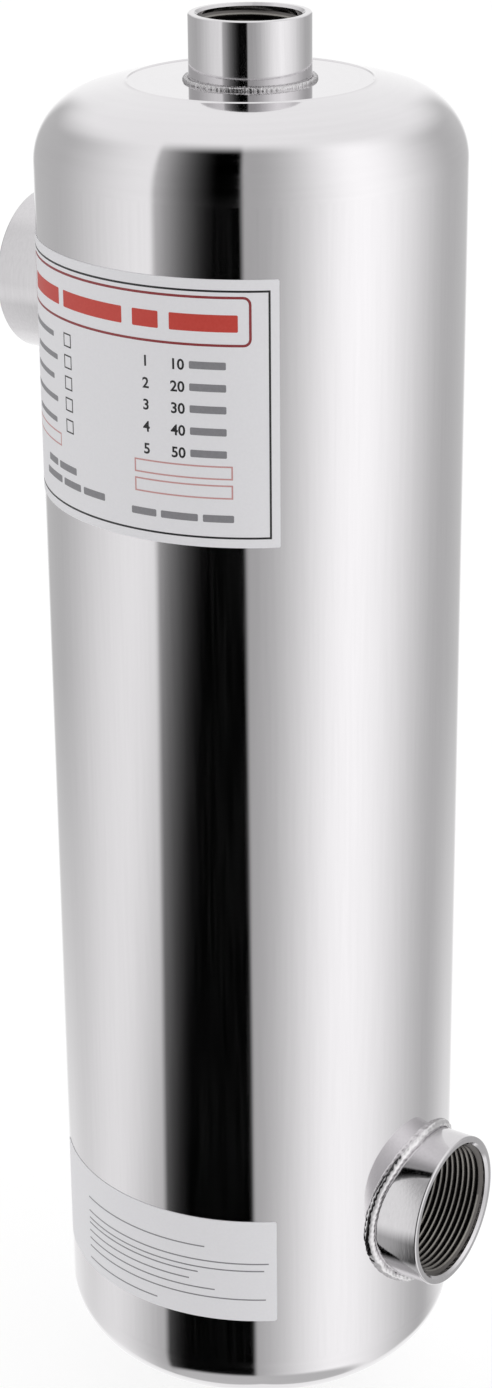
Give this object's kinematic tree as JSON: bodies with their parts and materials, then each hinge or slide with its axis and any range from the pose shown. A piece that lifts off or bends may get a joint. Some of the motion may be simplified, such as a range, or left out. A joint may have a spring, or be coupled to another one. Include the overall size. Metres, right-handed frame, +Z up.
{
  "type": "shell and tube heat exchanger",
  "caption": "Upright polished stainless shell and tube heat exchanger with dished heads, threaded end ports for the tube side and threaded side ports for the shell side.",
  "frame": {"origin": "centre of the bottom port's rim, on the body's centre line, on the floor it stands on", "axes": "+Z up the body's centre line; +X out along the lower side port; the upper side port points along -X"},
  "size_m": [0.1672, 0.1402, 0.5066],
  "materials": {
    "polished_stainless": "mirror polished",
    "turned_stainless": "turned and polished",
    "weld_metal": "brushed weld bead",
    "mill_stainless": "mill finish",
    "label_film": "printed vinyl"
  },
  "bodies": {
    "root": {"shell_tube": "polished_stainless", "top_head": "polished_stainless", "bottom_head": "polished_stainless", "top_port": "turned_stainless", "bottom_port": "turned_stainless", "lower_side_port": "turned_stainless", "upper_side_port": "turned_stainless", "top_port_weld": "weld_metal", "bottom_port_weld": "weld_metal", "lower_side_port_weld": "weld_metal", "upper_side_port_weld": "weld_metal", "upper_label": "label_film", "lower_label": "label_film", "top_tube_sheet": "mill_stainless", "bottom_tube_sheet": "mill_stainless", "centre_tube": "mill_stainless", "ring_tube_1": "mill_stainless", "ring_tube_2": "mill_stainless", "ring_tube_3": "mill_stainless", "ring_tube_4": "mill_stainless", "ring_tube_5": "mill_stainless", "ring_tube_6": "mill_stainless", "upper_baffle": "mill_stainless", "lower_baffle": "mill_stainless"}
  },
  "joints": []
}
